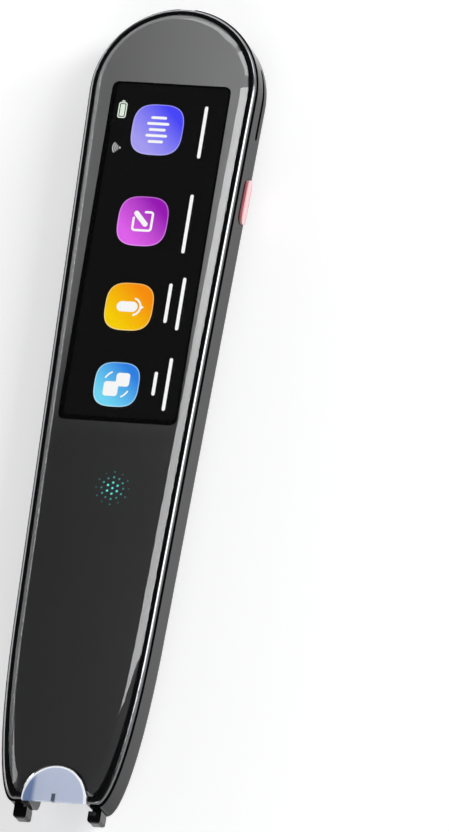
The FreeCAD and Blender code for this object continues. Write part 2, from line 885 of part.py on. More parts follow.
wide, length, tall = speaker_size
speaker_top = speaker_level + tall
speaker_case = rounded_plate((0, grille_height), (wide, length), speaker_level, speaker_top, speaker_corner)
speaker_case = speaker_case.cut(disc(
    0, grille_height, speaker_cone_radius, 0, speaker_level + speaker_cone_depth))
keep("speaker", speaker_case)
mesh_top = floor + mesh_thickness
gasket = disc(0, grille_height, gasket_radius, mesh_top, speaker_level)
keep("speaker_gasket", gasket.cut(disc(
    0, grille_height, gasket_radius - gasket_wall, 0, speaker_level + over)))
keep("speaker_mesh", disc(0, grille_height, gasket_radius, floor, mesh_top))

cell = box(
    (-battery_width / 2, battery_bottom, battery_level),
    (battery_width / 2, battery_end, battery_level + battery_tall),
)
long_edges = [edge for edge in cell.Edges if edge.BoundBox.YLength > battery_tall]
keep("battery", cell.makeFillet(battery_edge, long_edges))
keep("battery_pad", rounded_plate(
    (0, (battery_bottom + battery_end) / 2),
    (battery_pad_width, battery_end - battery_bottom - 2 * battery_pad_margin),
    floor, battery_level, battery_pad_corner,
))
wide, length, tall = battery_board_size
tab_low = battery_level + battery_board_rise
keep("battery_board", box(
    (-wide / 2, battery_end, tab_low), (wide / 2, battery_end + length, tab_low + tall)))
keep("battery_tab", box(
    (-wide / 2, battery_end + length, tab_low),
    (-wide / 2 + battery_tab_width, battery_end + length + ribbon_thickness, board_level)))


def make_cradle():
    wide, length, tall = cradle_size
    block = box((-wide / 2, camera_bottom, 0), (wide / 2, camera_bottom + length, camera_level + tall / 2))
    block = block.cut(along_y(0, camera_level, lens_radius + thread_gap, 0, camera_bottom + length + over))
    return block.common(room(seat_gap))


keep("camera_cradle", make_cradle())
barrel = along_y(0, camera_level, lens_radius, camera_bottom, camera_bottom + lens_length)
barrel = barrel.cut(along_y(
    0, camera_level, lens_radius - lens_wall, camera_bottom - over, camera_bottom + lens_length + over))
keep("lens_barrel", barrel)
lens_glass_start = camera_bottom + lens_glass_inset
keep("lens_glass", along_y(
    0, camera_level, lens_radius - lens_wall, lens_glass_start, lens_glass_start + lens_glass_thickness))


def upright_board(size, start, low):
    wide, length, tall = size
    return box((-wide / 2, start, low), (wide / 2, start + length, low + tall))


board_start = camera_bottom + lens_length + sensor_thickness
camera_board_low = camera_level - camera_board_size[2] / 2
keep("image_sensor", box(
    (-sensor_size / 2, board_start - sensor_thickness, camera_level - sensor_size / 2),
    (sensor_size / 2, board_start, camera_level + sensor_size / 2)))
keep("camera_board", upright_board(camera_board_size, board_start, camera_board_low))
light_start = camera_bottom - light_board_size[1]
lamp_board = upright_board(light_board_size, light_start, camera_level - light_board_size[2] / 2)
keep("light_board", lamp_board.cut(along_y(0, camera_level, lens_radius - lens_wall, 0, camera_bottom)))
keep("scan_lights", group([
    box((side * light_spread[0] - light_size / 2, light_start - light_height,
         camera_level + up - light_size / 2),
        (side * light_spread[0] + light_size / 2, light_start, camera_level + up + light_size / 2))
    for side in (-1, 1) for up in (-light_spread[1], light_spread[1])
]))


def make_camera_ribbon():
    start = board_start + camera_board_size[1]
    end = board_bottom + ribbon_overlap
    left = -camera_ribbon_width
    drop = box((left, start, camera_level), (0, start + ribbon_thickness, ribbon_level + ribbon_thickness))
    run = box((left, start, ribbon_level), (0, end, ribbon_level + ribbon_thickness))
    return fused([drop, run])


keep("camera_ribbon", make_camera_ribbon())


def make_display_ribbon():
    start = screen_middle - module_length / 2 + ribbon_inset
    left, right = display_ribbon_start, display_ribbon_start + display_ribbon_width
    drop = box((left, start, ribbon_level), (right, start + ribbon_thickness, module_bottom))
    end = board_bottom + ribbon_overlap
    run = box((left, start, ribbon_level), (right, end, ribbon_level + ribbon_thickness))
    return fused([drop, run])


keep("display_ribbon", make_display_ribbon())

aerial_bottom = screen_bottom - aerial_drop
aerial = slab(shell_wall + seat_gap, aerial_level, aerial_level + aerial_width)
aerial = aerial.cut(slab(shell_wall + seat_gap + aerial_thickness, aerial_level, aerial_level + aerial_width))
keep("aerial", aerial.common(box(
    (-end_radius, aerial_bottom, 0), (0, aerial_bottom + aerial_length, thickness))))


def make_screws():
    screws = []
    top = frame_top - seat_gap
    neck = top - screw_head_height
    for x, y in screws_on_both_sides():
        head = disc(x, y, screw_head_radius, neck, top)
        shank = disc(x, y, screw_radius - thread_gap, neck - screw_length, neck)
        screw = head.fuse(shank)
        for wide, long in ((recess_width, screw_head_radius), (screw_head_radius, recess_width)):
            screw = screw.cut(box(
                (x - wide / 2, y - long / 2, top - recess_depth),
                (x + wide / 2, y + long / 2, top + over),
            ))
        screws.append(screw)
    return group(screws)


keep("frame_screws", make_screws())

# The origin is on the land, halfway along the whole pen with its feet.
halfway = vec(0, -(body_length - foot_length) / 2, 0)
for name, shape in nodes.items():
    if not shape.isValid():
        print("not valid:", name)
    shape.translate(halfway)
    print(name, len(shape.Solids), round(shape.Volume, 2))
    shape.exportStep("parts/" + name + ".step")
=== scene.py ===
import math
import bmesh
import bpy
from mathutils import Matrix, Vector


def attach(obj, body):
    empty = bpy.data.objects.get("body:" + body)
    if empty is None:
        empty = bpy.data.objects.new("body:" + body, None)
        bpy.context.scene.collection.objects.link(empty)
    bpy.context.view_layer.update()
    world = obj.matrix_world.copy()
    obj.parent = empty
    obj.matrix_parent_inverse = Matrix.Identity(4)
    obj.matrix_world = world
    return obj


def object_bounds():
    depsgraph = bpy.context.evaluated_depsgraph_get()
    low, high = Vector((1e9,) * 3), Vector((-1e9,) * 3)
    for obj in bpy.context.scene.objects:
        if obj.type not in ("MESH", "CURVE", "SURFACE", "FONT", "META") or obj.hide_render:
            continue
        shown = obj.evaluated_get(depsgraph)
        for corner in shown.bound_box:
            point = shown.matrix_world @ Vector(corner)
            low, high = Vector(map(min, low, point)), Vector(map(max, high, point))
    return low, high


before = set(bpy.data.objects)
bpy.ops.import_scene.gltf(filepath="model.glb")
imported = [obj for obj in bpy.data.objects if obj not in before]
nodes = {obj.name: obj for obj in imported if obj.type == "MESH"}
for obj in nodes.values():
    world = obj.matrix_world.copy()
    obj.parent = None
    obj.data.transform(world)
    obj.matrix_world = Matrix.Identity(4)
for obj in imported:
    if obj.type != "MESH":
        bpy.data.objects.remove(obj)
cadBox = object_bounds()
mm = 0.001
armEnd = -0.0743  # where the arms end on the frame's Y; heights along the pen are counted from here
print("pen frame loaded")


def onPen(x, height, z):
    return Vector((x * mm, armEnd + height * mm, z * mm))


class Nodes:
    # a short way to write a material's nodes and links
    def __init__(self, name):
        self.material = bpy.data.materials.new(name)
        self.material.use_nodes = True
        self.tree = self.material.node_tree
        self.tree.nodes.clear()
        self.output = self.add("ShaderNodeOutputMaterial")

    def add(self, kind, **settings):
        node = self.tree.nodes.new(kind)
        for key, value in settings.items():
            setattr(node, key, value)
        return node

    def link(self, a, b):
        self.tree.links.new(a, b)

    def surface(self, numbers):
        shader = self.add("ShaderNodeBsdfPrincipled")
        for key, value in numbers.items():
            shader.inputs[key].default_value = value
        return shader

    def done(self, shader):
        self.link(shader.outputs[0], self.output.inputs["Surface"])
        return self.material

    def mixed(self, share, first, second):
        mix = self.add("ShaderNodeMixShader")
        self.link(share, mix.inputs[0])
        self.link(first.outputs[0], mix.inputs[1])
        self.link(second.outputs[0], mix.inputs[2])
        return mix

    def place(self):
        return self.add("ShaderNodeTexCoord").outputs["Object"]

    def axes(self, place=None):
        split = self.add("ShaderNodeSeparateXYZ")
        self.link(place or self.place(), split.inputs[0])
        return split.outputs

    def maths(self, operation, a, b=0.0):
        node = self.add("ShaderNodeMath", operation=operation)
        for socket, value in zip(node.inputs, (a, b)):
            if isinstance(value, (int, float)):
                socket.default_value = value
            else:
                self.link(value, socket)
        return node.outputs[0]

    def reach(self, across, along):
        # how far a point is from the middle
        squares = [self.maths("MULTIPLY", side, side) for side in (across, along)]
        return self.maths("SQRT", self.maths("ADD", *squares))

    def noise(self, scale, detail=3.0, stretch=(1, 1, 1)):
        mapping = self.add("ShaderNodeMapping")
        mapping.inputs["Scale"].default_value = stretch
        self.link(self.place(), mapping.inputs["Vector"])
        noise = self.add("ShaderNodeTexNoise")
        noise.inputs["Scale"].default_value = scale
        noise.inputs["Detail"].default_value = detail
        self.link(mapping.outputs[0], noise.inputs["Vector"])
        return noise.outputs[0]

    def spread(self, value, low, high, start=0.3, end=0.7):
        node = self.add("ShaderNodeMapRange")
        self.link(value, node.inputs["Value"])
        for key, number in (("From Min", start), ("From Max", end), ("To Min", low), ("To Max", high)):
            node.inputs[key].default_value = number
        return node.outputs[0]

    def ramp(self, value, stops):
        node = self.add("ShaderNodeValToRGB")
        line = node.color_ramp
        while len(line.elements) < len(stops):
            line.elements.new(0.5)
        for element, (position, colour) in zip(line.elements, stops):
            element.position = position
            element.color = (*colour, 1)
        self.link(value, node.inputs[0])
        return node.outputs[0]

    def bump(self, height, distance):
        node = self.add("ShaderNodeBump")
        node.inputs["Strength"].default_value = 1.0
        node.inputs["Distance"].default_value = distance
        self.link(height, node.inputs["Height"])
        return node.outputs[0]

    def roughen(self, shader, value, rough, parts):
        # a roughness that runs from a little below the middle one to a little above it
        self.link(self.spread(value, *[rough * part for part in parts]), shader.inputs["Roughness"])


def srgb(code):
    # a colour as it is picked on a screen, turned into the linear values that shaders take
    parts = [int(code[i:i + 2], 16) / 255 for i in (0, 2, 4)]
    return tuple(p / 12.92 if p <= 0.04045 else ((p + 0.055) / 1.055) ** 2.4 for p in parts)


solidLook = {"detail": 4.0, "stops": (0.3, 0.7), "roughParts": (0.8, 1.25), "coatRough": 0.03}


def solidFinish(name, colour, rough, grain, vary, metal=0.0, coat=0.0, shine=0.5, relief=0.0,
                stretch=(1, 1, 1)):
    n = Nodes(name)
    shader = n.surface({
        "Metallic": metal, "Coat Weight": coat, "Coat Roughness": solidLook["coatRough"],
        "Specular IOR Level": shine,
    })
    grainNoise = n.noise(grain, solidLook["detail"], stretch)
    tones = (tuple(c * (1 - vary) for c in colour), tuple(min(1, c * (1 + vary)) for c in colour))
    n.link(n.ramp(grainNoise, list(zip(solidLook["stops"], tones))), shader.inputs["Base Color"])
    n.roughen(shader, grainNoise, rough, solidLook["roughParts"])
    if relief:
        n.link(n.bump(grainNoise, relief), shader.inputs["Normal"])
    return n.done(shader)


def dress(material, *names):
    for name in names:
        slots = nodes[name].data.materials
        slots.clear()
        slots.append(material)


# shell, frame and inner parts
finishes = {
    "pianoBlack": dict(colour=(0.0045, 0.0045, 0.005), rough=0.07, grain=500, vary=0.1, shine=0.17),
    "rimPlating": dict(colour=(0.17, 0.173, 0.18), rough=0.17, metal=1.0, grain=1600, vary=0.05),
    "tipBlack": dict(colour=(0.006, 0.006, 0.007), rough=0.10, grain=700, vary=0.1),
    "innerBlack": dict(colour=(0.018, 0.018, 0.020), rough=0.5, grain=2600, vary=0.15, relief=6e-6),
    "boardGreen": dict(colour=(0.012, 0.10, 0.045), rough=0.35, grain=1500, vary=0.2, relief=4e-6),
    "chipBlack": dict(colour=(0.03, 0.03, 0.03), rough=0.6, grain=5000, vary=0.2, relief=4e-6),
    "canSteel": dict(colour=(0.62, 0.62, 0.60), rough=0.28, metal=1.0, grain=900, vary=0.05,
                     stretch=(1, 12, 1)),
    "screwSteel": dict(colour=(0.34, 0.34, 0.35), rough=0.32, metal=1.0, grain=3000, vary=0.1),
    "springWire": dict(colour=(0.56, 0.55, 0.53), rough=0.22, metal=1.0, grain=2500, vary=0.08),
    "foamBlack": dict(colour=(0.025, 0.025, 0.026), rough=0.9, grain=5200, vary=0.35, relief=4e-5),
    "cellWrap": dict(colour=(0.40, 0.42, 0.44), rough=0.42, metal=0.4, grain=700, vary=0.08, relief=1e-5),
    "ribbonAmber": dict(colour=(0.50, 0.22, 0.03), rough=0.25, grain=900, vary=0.12),
    "ledWhite": dict(colour=(0.85, 0.84, 0.70), rough=0.3, grain=3000, vary=0.05),
    "meshBlack": dict(colour=(0.012, 0.012, 0.012), rough=0.7, grain=9000, vary=0.4, relief=4e-5),
    "tapeBlack": dict(colour=(0.015, 0.015, 0.015), rough=0.75, grain=4000, vary=0.3, relief=6e-6),
    "lensCoated": dict(colour=(0.10, 0.06, 0.20), rough=0.03, coat=1.0, grain=600, vary=0.1),
    "markBlue": dict(colour=srgb("2f7fd6"), rough=0.30, grain=2600, vary=0.05),
}
wearsFinish = {
    "pianoBlack": ("back_shell",),
    "rimPlating": ("front_frame",),
    "tipBlack": ("nose_frame", "scan_hood"),
    "innerBlack": ("camera_cradle", "lens_barrel", "microphone_boot", "button_switch", "nose_switch",
                   "speaker", "battery_tab"),
    "boardGreen": ("main_board", "battery_board", "camera_board", "light_board", "touch_key_board"),
    "chipBlack": ("processor", "memory_chip", "image_sensor"),
    "canSteel": ("shield_can", "radio_module", "card_socket", "charging_port", "microphone"),
    "screwSteel": ("frame_screws",),
    "springWire": ("nose_springs",),
    "foamBlack": ("display_foam", "battery_pad", "speaker_gasket"),
    "cellWrap": ("battery",),
    "ribbonAmber": ("camera_ribbon", "display_ribbon", "aerial"),
    "ledWhite": ("scan_lights",),
    "meshBlack": ("speaker_mesh",),
    "tapeBlack": ("glass_tape",),
    "lensCoated": ("lens_glass",),
    "markBlue": ("aim_mark",),
}
for finish, wearers in wearsFinish.items():
    dress(solidFinish(finish, **finishes[finish]), *wearers)
print("plain finishes on", sum(len(w) for w in wearsFinish.values()), "nodes")


glassLook = {"tint": (0.985, 0.99, 0.99), "ior": 1.5, "grain": 1400, "detail": 2.0, "rough": (0.016, 0.026)}


def clearPane(name, look):
    # clear glass; lamps reach what lies under it
    n = Nodes(name)
    shader = n.surface({"Base Color": (*look["tint"], 1), "Transmission Weight": 1.0, "IOR": look["ior"]})
    smear = n.noise(look["grain"], look["detail"])
    n.link(n.spread(smear, *look["rough"]), shader.inputs["Roughness"])
    lampSide = n.add("ShaderNodeLightPath").outputs["Is Shadow Ray"]
    return n.done(n.mixed(lampSide, shader, n.add("ShaderNodeBsdfTransparent")))


dress(clearPane("coverGlass", glassLook), "cover_glass")

# the scan window: its tone, painted shade on the darker left side, the aiming mark, a painted highlight on
# the arched edge and a painted glow
windowLook = {
    "tone": srgb("c3cbdf"), "clear": 0.25, "rough": 0.12, "glow": 0.24, "markedAndPaintedLight": True,
    "deep": srgb("7286ad"), "deepSide": (-4.2, -3.4),
    "mark": srgb("5a6070"), "markHalf": 0.36, "markTop": 1.4,
    "edge": srgb("ffffff"), "highlightShare": 0.85, "highlightLine": (0.30, 0.14), "reach": 5.9, "squash": 0.91,
}
smokeLook = {"tone": srgb("2c2e33"), "clear": 0.3, "rough": 0.06, "glow": 0.0, "markedAndPaintedLight": False}
cloudLook = {"grain": 140, "detail": 2.0, "stops": (0.25, 0.8), "shade": 0.94, "roughParts": (0.8, 1.3)}


def windowMarkShadeAndHighlight(n, look, colour):
    # painted shade on the darker left side, the aiming mark that shows through, and a painted highlight along
    # the bright arched edge
    axes = n.axes()
    across = axes["X"]
    height = n.maths("SUBTRACT", axes["Y"], armEnd)
    reach = n.reach(across, n.maths("MULTIPLY", height, look["squash"]))
    highlightLine = [(look["reach"] - inset) * mm for inset in look["highlightLine"]]
    # painted highlight: the bright arched edge
    edge = n.spread(reach, 0.0, look["highlightShare"], *highlightLine)
    # painted shade: the darker left side
    left = n.spread(across, 1.0, 0.0, *[side * mm for side in look["deepSide"]])
    mark = n.maths("MULTIPLY", n.maths("LESS_THAN", n.maths("ABSOLUTE", across), look["markHalf"] * mm),
                   n.maths("LESS_THAN", height, look["markTop"] * mm))
    for share, tone in ((left, look["deep"]), (mark, look["mark"]), (edge, look["edge"])):
        mix = n.add("ShaderNodeMix", data_type="RGBA")
        factor, first, second = [mix.inputs[i] for i in (0, 6, 7)]  # the sockets that colours use
        n.link(share, factor)
        n.link(colour, first)
        second.default_value = (*tone, 1)
        colour = mix.outputs[2]
    return colour


def milkyWindowPaintedGlow(name, look):
    # moulded window with a little painted glow: emission in its own colour, though no lamp is in it
    n = Nodes(name)
    # painted glow: the window gives off its own colour as light
    shader = n.surface({"Emission Strength": look["glow"], "Transmission Weight": look["clear"]})
    cloud = n.noise(cloudLook["grain"], cloudLook["detail"])
    tones = (look["tone"], tuple(c * cloudLook["shade"] for c in look["tone"]))
    colour = n.ramp(cloud, list(zip(cloudLook["stops"], tones)))
    if look["markedAndPaintedLight"]:
        colour = windowMarkShadeAndHighlight(n, look, colour)
    n.link(colour, shader.inputs["Base Color"])
    n.link(colour, shader.inputs["Emission Color"])
    n.roughen(shader, cloud, look["rough"], cloudLook["roughParts"])
    return n.done(shader)


dress(milkyWindowPaintedGlow("scanWindowBluePaintedLight", windowLook), "scan_window")
dress(milkyWindowPaintedGlow("cameraWindowSmoke", smokeLook), "camera_window")

# the ink's tones by height along the pen, a painted reflection that is paler towards the top end and darker
# towards the tip, and how much darker and paler its left and right sides are painted as shade and reflection
inkAndReflectionLook = {
    "tones": {
        0.0: "2c2c2c", 69.0: "2d2d2d", 77.0: "434343", 89.0: "626262", 105.0: "747474", 150.0: "7c7c7c",
    },
    "length": 151.0, "half": 14.0, "left": 0.62, "right": 1.12, "drop": 0.01,
    "rough": 0.35, "roughParts": (0.9, 1.1), "grain": 3000,
}


def greyInkWithPaintedReflection(name, look):
    # the dark grey ink behind the glass, with a painted reflection: paler towards the top end, darker towards
    # the tip, darker on the left and paler on the right
    n = Nodes(name)
    shader = n.surface({})
    axes = n.axes()
    height = n.maths("DIVIDE", n.maths("SUBTRACT", axes["Y"], armEnd), look["length"] * mm)
    stops = [(place / look["length"], srgb(tone)) for place, tone in look["tones"].items()]
    half = look["half"] * mm
    shade = n.add("ShaderNodeVectorMath", operation="SCALE")
    # painted reflection: the ink's tone by height, paler towards the top end and darker towards the tip
    n.link(n.ramp(height, stops), shade.inputs[0])
    # painted shade on the left side and painted reflection on the right side
    n.link(n.spread(axes["X"], look["left"], look["right"], -half, half), shade.inputs["Scale"])
    n.link(shade.outputs[0], shader.inputs["Base Color"])
    n.roughen(shader, n.noise(look["grain"]), look["rough"], look["roughParts"])
    return n.done(shader)


dress(greyInkWithPaintedReflection("decorInkPaintedReflection", inkAndReflectionLook), "decor_film")
inkDrop = nodes["decor_film"].modifiers.new("inkDrop", "DISPLACE")
inkDrop.direction = "Z"
inkDrop.mid_level = 0.0
inkDrop.strength = -inkAndReflectionLook["drop"] * mm  # a hair under the glass, so that the faces don't coincide
print("glass, windows and ink done")

buttonLook = {
    "pale": srgb("f7cfd0"), "shadedRose": srgb("dd8087"), "stops": (0.45, 0.85), "level": 5.2, "half": 1.55,
    "rough": 0.3, "roughParts": (0.9, 1.15), "grain": 2400,
}


def buttonWithPaintedShade(name, look):
    # pale pink middle, with the long edges painted a darker rose as painted shade
    n = Nodes(name)
    shader = n.surface({})
    # painted shade: the further from the button's middle line, the darker and rosier
    drop = n.maths("ABSOLUTE", n.maths("SUBTRACT", n.axes()["Z"], look["level"] * mm))
    share = n.maths("DIVIDE", drop, look["half"] * mm)
    tones = list(zip(look["stops"], (look["pale"], look["shadedRose"])))
    n.link(n.ramp(share, tones), shader.inputs["Base Color"])
    n.roughen(shader, n.noise(look["grain"]), look["rough"], look["roughParts"])
    return n.done(shader)


dress(buttonWithPaintedShade("buttonPink", buttonLook), "side_button")

keyLook = {
    "centre": (1.3, 59.15), "top": 10.3, "reach": 3.3, "glow": 0.9, "rough": 0.4, "spokes": 6, "ripple": 0.12,
    "stops": {0.30: "58d8cf", 0.62: "2f9c97", 0.98: "1d5f5f"},
}


def glowingGuide(name, look):
    # lit dots, brightest in the middle
    n = Nodes(name)
    shader = n.surface({"Emission Strength": look["glow"], "Roughness": look["rough"]})
    move = n.add("ShaderNodeVectorMath", operation="SUBTRACT")
    n.link(n.place(), move.inputs[0])
    move.inputs[1].default_value = onPen(*look["centre"], look["top"])
    axes = n.axes(move.outputs[0])
    across, along = axes["X"], axes["Y"]
    share = n.maths("DIVIDE", n.reach(across, along), look["reach"] * mm)
    blink = n.maths("COSINE", n.maths("MULTIPLY", n.maths("ARCTAN2", along, across), look["spokes"]))
    level = n.maths("ADD", share, n.maths("MULTIPLY", n.maths("MULTIPLY", blink, share), look["ripple"]))
    colour = n.ramp(level, [(stop, srgb(tone)) for stop, tone in look["stops"].items()])
    n.link(colour, shader.inputs["Base Color"])
    n.link(colour, shader.inputs["Emission Color"])
    return n.done(shader)


dress(glowingGuide("keyGlow", keyLook), "touch_key_guide")
print("side button and touch key done")

# the lit screen: thin plates that lie on each other on the black display module
screenLook = {
    "centre": (0, 103.85), "width": 22.54, "length": 64.6, "edge": 0.7, "corner": 0.8, "shift": (0.25, 0.35),
    "field": srgb("0b0b0b"), "white": srgb("ffffff"), "moduleTop": 10.05,
    "layers": {"field": 0.03, "plate": 0.05, "sign": 0.05},
}
glowLook = {"angle": 45.0, "stops": (0.1, 0.9), "strength": 1.0, "base": 0.002, "rough": 0.5}


def litFinish(name, low, high, reach=1.0):
    # a screen colour that runs from low to high across the piece
    n = Nodes(name)
    shader = n.surface({
        "Base Color": (*[glowLook["base"]] * 3, 1), "Emission Strength": glowLook["strength"],
        "Roughness": glowLook["rough"], "Specular IOR Level": 0.0,
    })
    axes = n.axes()
    turn = math.radians(glowLook["angle"])
    run = n.maths("ADD", n.maths("MULTIPLY", axes["X"], math.cos(turn)),
                  n.maths("MULTIPLY", axes["Y"], math.sin(turn)))
    share = n.maths("ADD", n.maths("DIVIDE", run, 2 * reach * mm), 0.5)
    n.link(n.ramp(share, list(zip(glowLook["stops"], (low, high)))), shader.inputs["Emission Color"])
    return n.done(shader)


def screenPiece(name, plates, centre, layer, material):
    # plates are closed outlines in mm, each made into a thin plate; a pair of outlines is a ring
    # the layers lie on each other, so a plate starts where those under it end
    bottom = screenLook["moduleTop"]
    for under, thick in screenLook["layers"].items():
        if under == layer:
            break
        bottom += thick
    mesh = bpy.data.meshes.new(name)
    bm = bmesh.new()

    def corners(loop):
        return [bm.verts.new((x * mm, y * mm, 0)) for x, y in loop]

    for plate in plates:
        if isinstance(plate, tuple):
            outside, inside = [corners(loop) for loop in plate]
            steps = [(i, (i + 1) % len(outside)) for i in range(len(outside))]
            faces = [bm.faces.new((outside[i], outside[j], inside[j], inside[i])) for i, j in steps]
        else:
            faces = [bm.faces.new(corners(plate))]
        grown = bmesh.ops.extrude_face_region(bm, geom=faces)
        lifted = [v for v in grown["geom"] if isinstance(v, bmesh.types.BMVert)]
        bmesh.ops.translate(bm, verts=lifted, vec=(0, 0, thick * mm))
    bmesh.ops.recalc_face_normals(bm, faces=bm.faces)
    bm.to_mesh(mesh)
    bm.free()
    mesh.materials.append(material)
    piece = bpy.data.objects.new(name, mesh)
    bpy.context.scene.collection.objects.link(piece)
    piece.location = onPen(centre[0], centre[1], bottom)
    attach(piece, "pen")


def softSquare(size, power, count=72):
    # a square with bulging sides, or a circle where power is 2
    points = []
    for i in range(count):
        a = 2 * math.pi * i / count
        c, s = math.cos(a), math.sin(a)
        reach = (abs(c) ** power + abs(s) ** power) ** (-1 / power)
        points.append((size / 2 * reach * c, size / 2 * reach * s))
    return points


def roundedBox(width, height, radius, count=8, centre=(0, 0)):
    points = []
    for cornerX, cornerY, start in ((1, 1, 0), (-1, 1, 90), (-1, -1, 180), (1, -1, 270)):
        for i in range(count + 1):
            a = math.radians(start + 90 * i / count)
            points.append((centre[0] + cornerX * (width / 2 - radius) + radius * math.cos(a),
                           centre[1] + cornerY * (height / 2 - radius) + radius * math.sin(a)))
    return points


def stroke(path, width, count=8):
    # a line of even width with round ends
    left, right = [], []
    for i, (x, y) in enumerate(path):
        before, after = path[max(0, i - 1)], path[min(len(path) - 1, i + 1)]
        way = Vector((after[0] - before[0], after[1] - before[1])).normalized()
        left.append((x - way.y * width / 2, y + way.x * width / 2))
        right.append((x + way.y * width / 2, y - way.x * width / 2))

    def cap(at, towards):
        start = math.atan2(towards.y, towards.x) + math.pi / 2
        return [(at[0] + width / 2 * math.cos(start - math.pi * i / count),
                 at[1] + width / 2 * math.sin(start - math.pi * i / count)) for i in range(1, count)]

    endWay = Vector((path[-1][0] - path[-2][0], path[-1][1] - path[-2][1]))
    startWay = Vector((path[0][0] - path[1][0], path[0][1] - path[1][1]))
    return left + cap(path[-1], endWay) + right[::-1] + cap(path[0], startWay)


def arc(centre, radius, start, end, count=14):
    return [(centre[0] + radius * math.cos(math.radians(start + (end - start) * i / count)),
             centre[1] + radius * math.sin(math.radians(start + (end - start) * i / count)))
            for i in range(count + 1)]


moduleFinish = dict(colour=(0.0008, 0.0008, 0.0009), rough=0.25, grain=1500, vary=0.1, shine=0.1)
dress(solidFinish("screenGlassBlack", **moduleFinish), "display_module")
fieldGlow = litFinish("screenField", screenLook["field"], screenLook["field"])
screenWhite = litFinish("screenWhite", screenLook["white"], screenLook["white"])
fieldSize = [screenLook[side] - 2 * screenLook["edge"] for side in ("width", "length")]
fieldCentre = [screenLook["centre"][i] + screenLook["shift"][i] for i in (0, 1)]
screenPiece("screen_field", [roundedBox(*fieldSize, screenLook["corner"])], fieldCentre, "field", fieldGlow)

icons = {
    "sound": {"centre": (-1.5, 127.3), "size": 9.65, "low": "aaa2f8", "high": "4a48ff", "rim": "c4c0ff"},
    "excerpt": {"centre": (-1.4, 109.8), "size": 9.4, "low": "e765f2", "high": "9a17b8", "rim": "f09cff"},
    "voice": {"centre": (-1.3, 93.5), "size": 9.0, "low": "ffd400", "high": "ff9208", "rim": "ffe28a"},
    "pages": {"centre": (-1.2, 78.7), "size": 8.4, "low": "74dcfa", "high": "2f84ea", "rim": "c2f0ff"},
}
iconShape = {"power": 3.1, "rim": 0.16}
barsLook = {"lengths": (2.4, 3.6, 2.7, 3.7, 2.5), "step": 1.14, "line": 0.5}
sheetLook = {
    "side": 1.75, "bend": 0.45, "start": 0.55, "end": 0.35, "line": 0.42,
    "pencil": [(-1.35, 1.45), (0.55, -0.55)], "pencilWidth": 0.95,
}
voiceLook = {
    "capsule": [(-1.35, 0), (0.65, 0)], "width": 1.95, "cup": (0.55, 0), "cupReach": 1.62, "cupTurn": 72,
    "line": 0.36, "foot": [(2.15, 0.42), (2.85, 0.0), (2.15, -0.42)],
}
pagesLook = {
    "cards": [(2.55, (1.05, 0.95)), (2.75, (-1.0, -0.85))], "corner": 0.55,
    "reach": 2.55, "starts": (118, -62), "turn": 34, "line": 0.28,
}


def soundBars(look):
    middle = (len(look["lengths"]) - 1) / 2
    rows = [(length / 2, (i - middle) * look["step"]) for i, length in enumerate(look["lengths"])]
    return [stroke([(-half, row), (half, row)], look["line"]) for half, row in rows]


def pencilOnSheet(look):
    side, bend = look["side"], look["bend"]
    sheet = [(-side, look["start"]), (-side, -side + bend)]
    for x, y, start in ((-1, -1, 180), (1, -1, 270), (1, 1, 0)):
        sheet += arc((x * (side - bend), y * (side - bend)), bend, start, start + 90, count=4)
    sheet.append((look["end"], side))
    return [stroke(sheet, look["line"]), stroke(look["pencil"], look["pencilWidth"])]


def microphoneSign(look):
    capsule = stroke(look["capsule"], look["width"], count=12)
    cup = stroke(arc(look["cup"], look["cupReach"], -look["cupTurn"], look["cupTurn"]), look["line"])
    return [capsule, cup, look["foot"]]


def pageSigns(look):
    cards = [roundedBox(size, size, look["corner"], count=6, centre=centre) for size, centre in look["cards"]]
    sweeps = [arc((0, 0), look["reach"], start, start + look["turn"], count=6) for start in look["starts"]]
    return cards + [stroke(sweep, look["line"]) for sweep in sweeps]


signs = {
    "sound": soundBars(barsLook), "excerpt": pencilOnSheet(sheetLook), "voice": microphoneSign(voiceLook),
    "pages": pageSigns(pagesLook),
}
for key, icon in icons.items():
    size, centre = icon["size"], icon["centre"]
    low, high, edge = [srgb(icon[tone]) for tone in ("low", "high", "rim")]
    outer = softSquare(size, iconShape["power"])
    inner = softSquare(size - 2 * iconShape["rim"], iconShape["power"])
    face = litFinish(key + "Face", low, high, size / 2)
    rim = litFinish(key + "Rim", edge, tuple((a + b) / 2 for a, b in zip(edge, high)), size / 2)
    screenPiece(key + "_plate", [inner], centre, "plate", face)
    screenPiece(key + "_rim", [(outer, inner)], centre, "plate", rim)
    screenPiece(key + "_sign", signs[key], centre, "sign", screenWhite)

# bars in place of words: the height of each caption's middle, then where each line lies and its length
captions = {
    "sound": (127.3, [(7.1, 9.95)]),
    "excerpt": (109.8, [(7.1, 11.2)]),
    "voice": (94.6, [(5.9, 7.5), (8.3, 10.0)]),
    "pages": (79.3, [(5.9, 4.5), (8.3, 10.0)]),
}
captionThick = 0.62
for key, (height, lines) in captions.items():
    first = lines[0][0]
    bars = []
    for x, length in lines:
        end = length / 2 - captionThick / 2
        bars.append(stroke([(x - first, -end), (x - first, end)], captionThick))
    screenPiece(key + "_caption", bars, (first, height), "plate", screenWhite)

cellLook = {"centre": (-8.7, 130.7), "size": (1.6, 3.0), "corner": 0.4, "line": 0.2, "gap": 0.75,
            "fillCorner": 0.12, "cap": (0.6, 0.22), "capCorner": 0.1, "tone": "e8f4e4"}
waveLook = {"centre": (-8.5, 123.5), "middle": (0.5, 0), "rings": (0.55, 0.95, 1.35), "sweep": (138, 222),
            "line": 0.13, "dot": 0.3}


